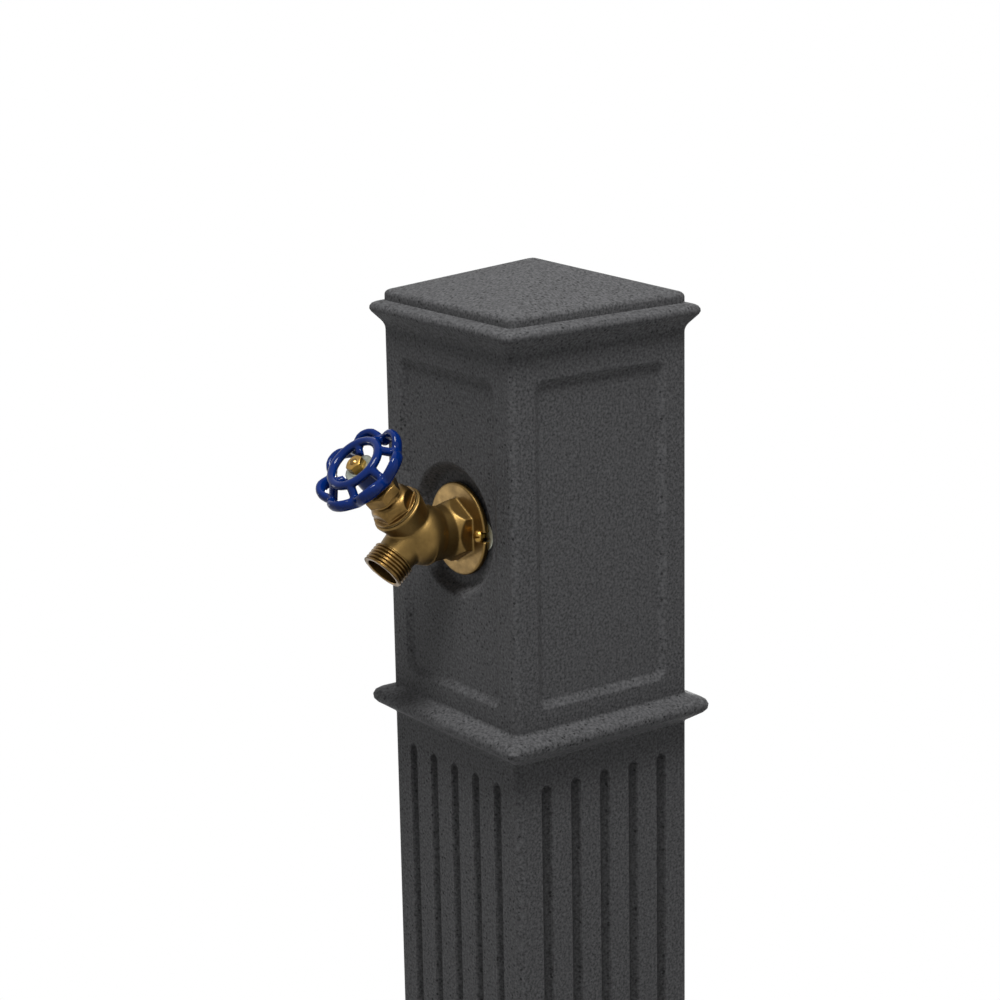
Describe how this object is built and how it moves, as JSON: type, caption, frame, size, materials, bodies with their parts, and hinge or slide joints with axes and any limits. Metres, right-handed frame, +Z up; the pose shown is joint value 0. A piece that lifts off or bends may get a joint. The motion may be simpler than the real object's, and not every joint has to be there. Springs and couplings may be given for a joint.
{
  "type": "garden tap on a moulded post",
  "caption": "Brass flanged garden tap with a lobed blue handwheel and a hose-thread spout, on a hollow square moulded post with its supply pipe inside.",
  "frame": {"origin": "centre of the post's foot, on the ground", "axes": "+Z up along the post, -Y the way the tap looks, +X to the right hand of somebody who looks along +Y at the tap"},
  "size_m": [0.216, 0.2613, 0.9144],
  "materials": {
    "moulded_post": "matt, finely speckled",
    "cast_brass": "as cast, fettled",
    "turned_brass": "machined",
    "blue_enamel": "gloss enamel",
    "plated_steel": "zinc plated",
    "washer_rubber": "matt",
    "gasket_fibre": "matt fibre",
    "packing_graphite": "matt",
    "pipe_plastic": "satin",
    "spacer_plastic": "matt"
  },
  "bodies": {
    "post": {"post_shell": "moulded_post", "tap_body": "cast_brass", "valve_seat": "turned_brass", "bonnet": "turned_brass", "bonnet_gasket": "gasket_fibre", "stem_packing": "packing_graphite", "packing_follower": "turned_brass", "packing_nut": "turned_brass", "flange_screws": "turned_brass", "flange_washers": "plated_steel", "flange_nuts": "turned_brass", "riser_elbow": "pipe_plastic", "riser_pipe": "pipe_plastic", "inlet_coupling": "pipe_plastic", "upper_pipe_spacer": "spacer_plastic", "lower_pipe_spacer": "spacer_plastic"},
    "washer": {"seat_washer": "washer_rubber"},
    "spindle": {"stem": "turned_brass", "seat_washer_screw": "turned_brass", "handwheel": "blue_enamel", "wheel_disc": "plated_steel", "wheel_nut": "turned_brass"}
  },
  "joints": [
    {"name": "stem_lift", "type": "slide", "parent": "post", "child": "washer", "axis": [0, -0.6665, 0.7455], "range_m": [0, 0.0064]},
    {"name": "handwheel_turn", "type": "hinge", "parent": "washer", "child": "spindle", "pos_m": [0, -0.0858, 0.7549], "axis": [0, -0.6665, 0.7455], "range_deg": [0, 900]}
  ],
  "couplings": [
    {"joint": "stem_lift", "follows": "handwheel_turn", "m_per_rad": 0.00040425}
  ]
}
